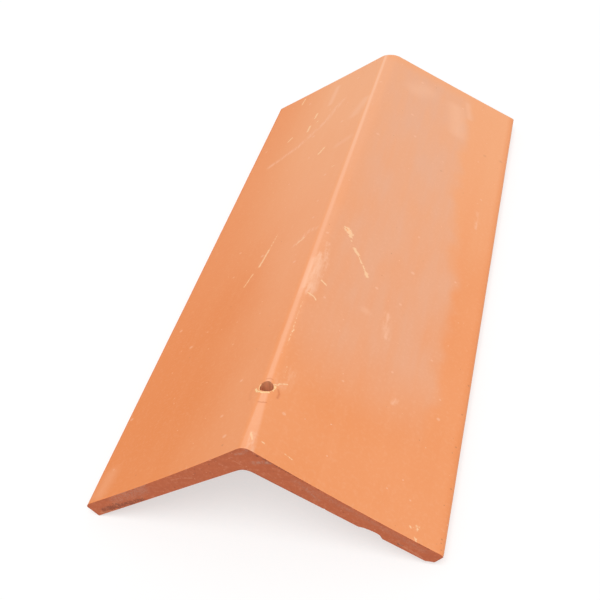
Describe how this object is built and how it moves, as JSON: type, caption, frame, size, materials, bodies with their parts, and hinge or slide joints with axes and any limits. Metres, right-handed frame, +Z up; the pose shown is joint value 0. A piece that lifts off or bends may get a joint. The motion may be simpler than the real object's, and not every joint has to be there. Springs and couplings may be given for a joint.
{
  "type": "angular clay ridge tile",
  "caption": "Plain angular clay ridge tile: an inverted V with a rounded crown, square-cut ends and a nail hole through the ridge line near the front end.",
  "frame": {"origin": "on the floor, below the middle of the tile, which stands on the inner long edges of its wings", "axes": "+X across the ridge, +Y along the ridge away from the end with the nail hole, +Z up"},
  "size_m": [0.2076, 0.45, 0.0746],
  "materials": {
    "fired_clay": "matt unglazed fired clay"
  },
  "bodies": {
    "root": {"ridge_tile": "fired_clay"}
  },
  "joints": []
}
